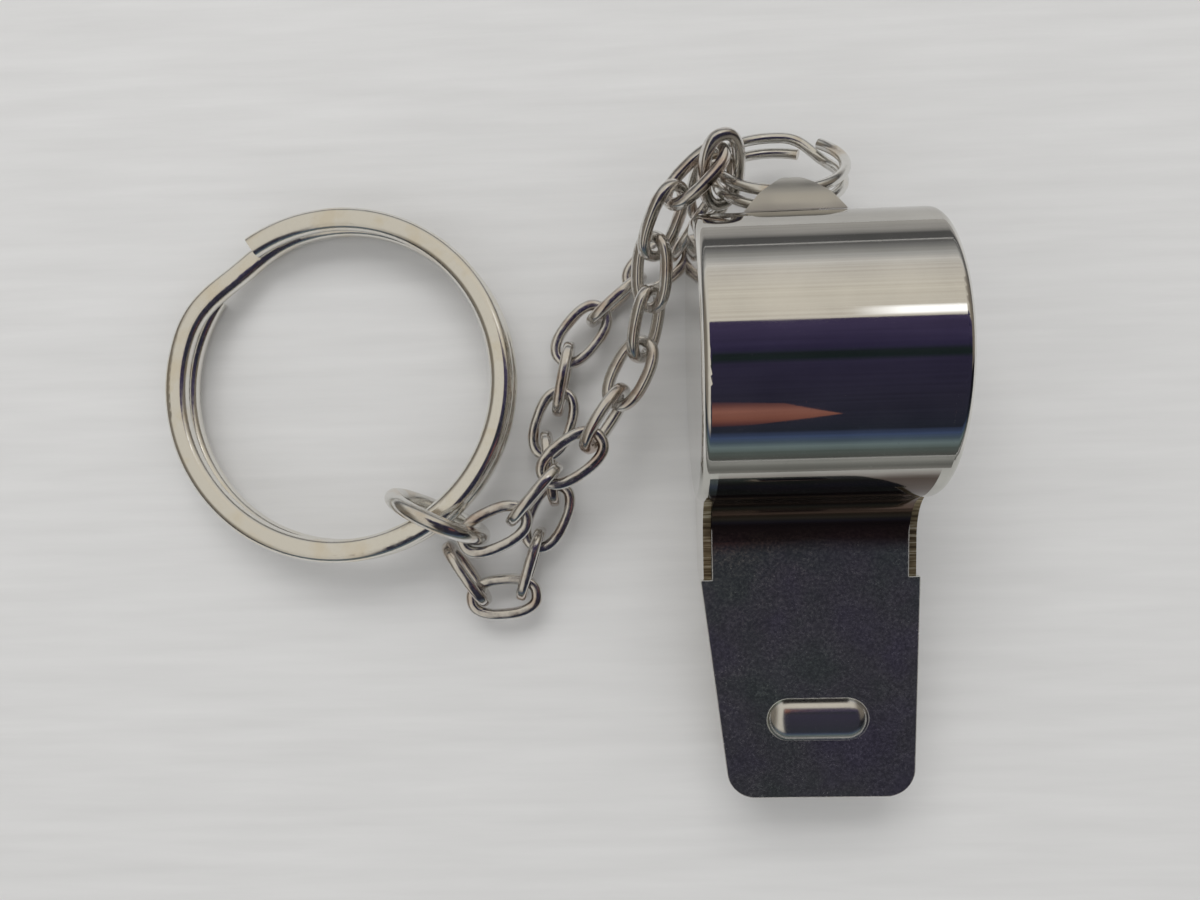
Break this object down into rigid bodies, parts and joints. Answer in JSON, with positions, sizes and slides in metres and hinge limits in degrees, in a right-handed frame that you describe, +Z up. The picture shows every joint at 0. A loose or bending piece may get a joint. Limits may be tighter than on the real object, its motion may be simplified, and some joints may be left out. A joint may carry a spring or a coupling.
{
  "type": "pea whistle with chain and key ring",
  "caption": "Sheet-metal pea whistle with a tooth grip and lanyard loop, on a split ring with a doubled link chain, a jump ring and a split key ring.",
  "frame": {"origin": "centre of the flat plate that rests on the table, on its resting face", "axes": "+X along the barrel's axis to the right, +Y from the mouthpiece towards the lanyard loop, +Z up from the table"},
  "size_m": [0.0608, 0.0528, 0.021],
  "materials": {
    "polished_nickel": "polished",
    "satin_nickel": "satin",
    "plated_chain": "polished",
    "steel_wire": "satin",
    "steel_band": "polished",
    "cork": "matte"
  },
  "bodies": {
    "whistle": {"body_strip": "polished_nickel", "side_plate_left": "polished_nickel", "side_plate_right": "polished_nickel", "top_plate": "polished_nickel", "windway_floor": "polished_nickel", "lanyard_loop": "satin_nickel"},
    "pea": {"pea": "cork"},
    "split_ring": {"split_ring": "steel_wire"},
    "upper_link_01": {"upper_link_01": "plated_chain"},
    "upper_link_02": {"upper_link_02": "plated_chain"},
    "upper_link_03": {"upper_link_03": "plated_chain"},
    "upper_link_04": {"upper_link_04": "plated_chain"},
    "upper_link_05": {"upper_link_05": "plated_chain"},
    "upper_link_06": {"upper_link_06": "plated_chain"},
    "upper_link_07": {"upper_link_07": "plated_chain"},
    "upper_link_08": {"upper_link_08": "plated_chain"},
    "upper_link_09": {"upper_link_09": "plated_chain"},
    "upper_link_10": {"upper_link_10": "plated_chain"},
    "lower_link_01": {"lower_link_01": "plated_chain"},
    "lower_link_02": {"lower_link_02": "plated_chain"},
    "lower_link_03": {"lower_link_03": "plated_chain"},
    "lower_link_04": {"lower_link_04": "plated_chain"},
    "lower_link_05": {"lower_link_05": "plated_chain"},
    "lower_link_06": {"lower_link_06": "plated_chain"},
    "lower_link_07": {"lower_link_07": "plated_chain"},
    "lower_link_08": {"lower_link_08": "plated_chain"},
    "lower_link_09": {"lower_link_09": "plated_chain"},
    "lower_link_10": {"lower_link_10": "plated_chain"},
    "lower_link_11": {"lower_link_11": "plated_chain"},
    "lower_link_12": {"lower_link_12": "plated_chain"},
    "jump_ring": {"jump_ring": "steel_wire"},
    "key_ring": {"key_ring": "steel_band"}
  },
  "joints": [
    {"name": "pea_roll", "type": "hinge", "parent": "whistle", "child": "pea", "pos_m": [0, 0.02025, 0.0105], "axis": [1, 0, 0], "continuous": true},
    {"name": "split_ring_swing", "type": "hinge", "parent": "whistle", "child": "split_ring", "pos_m": [-0.00135, 0.03187, 0.0108], "axis": [1, 0, 0], "range_deg": [-2.5, 12]},
    {"name": "upper_link_01_swing", "type": "hinge", "parent": "split_ring", "child": "upper_link_01", "pos_m": [-0.00594, 0.03386, 0.00843], "axis": [0.3746, -0.596, 0.7103], "range_deg": [-4, 0]},
    {"name": "upper_link_02_swing", "type": "hinge", "parent": "upper_link_01", "child": "upper_link_02", "pos_m": [-0.00594, 0.03679, 0.01088], "axis": [-0.9272, -0.2408, 0.287], "range_deg": [0, 5]},
    {"name": "upper_link_03_swing", "type": "hinge", "parent": "upper_link_02", "child": "upper_link_03", "pos_m": [-0.01, 0.03239, 0.00917], "axis": [-0.4296, 0.644, -0.633], "range_deg": [0, 10]},
    {"name": "upper_link_04_swing", "type": "hinge", "parent": "upper_link_03", "child": "upper_link_04", "pos_m": [-0.0112, 0.03004, 0.00842], "axis": [-0.7503, 0.2516, -0.6113], "range_deg": [0, 10]},
    {"name": "upper_link_05_swing", "type": "hinge", "parent": "upper_link_04", "child": "upper_link_05", "pos_m": [-0.01157, 0.02482, 0.00672], "axis": [-0.7503, 0.2516, -0.6113], "range_deg": [0, 10]},
    {"name": "upper_link_06_swing", "type": "hinge", "parent": "upper_link_05", "child": "upper_link_06", "pos_m": [-0.01196, 0.02227, 0.00597], "axis": [-0.7864, 0.4515, -0.4216], "range_deg": [0, 10]},
    {"name": "upper_link_07_swing", "type": "hinge", "parent": "upper_link_06", "child": "upper_link_07", "pos_m": [-0.01454, 0.01742, 0.00558], "axis": [-0.7864, 0.4515, -0.4216], "range_deg": [0, 10]},
    {"name": "upper_link_08_swing", "type": "hinge", "parent": "upper_link_07", "child": "upper_link_08", "pos_m": [-0.01573, 0.0148, 0.006], "axis": [-0.5592, 0.829, 0], "range_deg": [0, 2.5]},
    {"name": "upper_link_09_swing", "type": "hinge", "parent": "upper_link_08", "child": "upper_link_09", "pos_m": [-0.02029, 0.01172, 0.006], "axis": [-0.5592, 0.829, 0], "range_deg": [0, 10]},
    {"name": "upper_link_10_swing", "type": "hinge", "parent": "upper_link_09", "child": "upper_link_10", "pos_m": [-0.02186, 0.00886, 0.006], "axis": [-0.4067, 0.9135, 0], "range_deg": [0, 10]},
    {"name": "lower_link_01_swing", "type": "hinge", "parent": "split_ring", "child": "lower_link_01", "pos_m": [-0.0063, 0.03505, 0.00701], "axis": [0, -0.6428, 0.766], "range_deg": [0, 4]},
    {"name": "lower_link_02_swing", "type": "hinge", "parent": "lower_link_01", "child": "lower_link_02", "pos_m": [-0.0071, 0.03218, 0.0046], "axis": [-0.9781, 0.1593, 0.1336], "range_deg": [-10, 0]},
    {"name": "lower_link_03_swing", "type": "hinge", "parent": "lower_link_02", "child": "lower_link_03", "pos_m": [-0.00853, 0.03034, 0.00286], "axis": [-0.5299, 0.848, 0], "range_deg": [-10, 0]},
    {"name": "lower_link_04_swing", "type": "hinge", "parent": "lower_link_03", "child": "lower_link_04", "pos_m": [-0.01315, 0.02746, 0.00209], "axis": [-0.5299, 0.848, 0], "range_deg": [-10, 0]},
    {"name": "lower_link_05_swing", "type": "hinge", "parent": "lower_link_04", "child": "lower_link_05", "pos_m": [-0.01549, 0.02561, 0.00209], "axis": [-0.766, 0.6428, 0], "range_deg": [-10, 0]},
    {"name": "lower_link_06_swing", "type": "hinge", "parent": "lower_link_05", "child": "lower_link_06", "pos_m": [-0.01903, 0.0214, 0.00209], "axis": [-0.766, 0.6428, 0], "range_deg": [-10, 0]},
    {"name": "lower_link_07_swing", "type": "hinge", "parent": "lower_link_06", "child": "lower_link_07", "pos_m": [-0.01885, 0.01869, 0.00209], "axis": [-0.9397, 0.342, 0], "range_deg": [-10, 0]},
    {"name": "lower_link_08_swing", "type": "hinge", "parent": "lower_link_07", "child": "lower_link_08", "pos_m": [-0.02073, 0.01353, 0.00209], "axis": [-0.9397, 0.342, 0], "range_deg": [-10, 0]},
    {"name": "lower_link_09_swing", "type": "hinge", "parent": "lower_link_08", "child": "lower_link_09", "pos_m": [-0.01924, 0.01089, 0.00209], "axis": [-0.8988, 0.4384, 0], "range_deg": [-10, 0]},
    {"name": "lower_link_10_swing", "type": "hinge", "parent": "lower_link_09", "child": "lower_link_10", "pos_m": [-0.02165, 0.00594, 0.00209], "axis": [-0.8988, 0.4384, 0], "range_deg": [-10, 0]},
    {"name": "lower_link_11_swing", "type": "hinge", "parent": "lower_link_10", "child": "lower_link_11", "pos_m": [-0.02155, 0.00196, 0.00209], "axis": [-0.0698, 0.9976, 0], "range_deg": [-10, 0]},
    {"name": "lower_link_12_swing", "type": "hinge", "parent": "lower_link_11", "child": "lower_link_12", "pos_m": [-0.02703, 0.00157, 0.00209], "axis": [-0.0698, 0.9976, 0], "range_deg": [-10, 0]},
    {"name": "jump_ring_swing", "type": "hinge", "parent": "upper_link_10", "child": "jump_ring", "pos_m": [-0.02689, 0.00663, 0.006], "axis": [-0.4067, 0.9135, 0], "range_deg": [0, 6]},
    {"name": "key_ring_flap", "type": "hinge", "parent": "jump_ring", "child": "key_ring", "pos_m": [-0.02916, 0.00884, 0.00392], "axis": [0.7986, 0.6018, 0], "range_deg": [0, 30]}
  ]
}
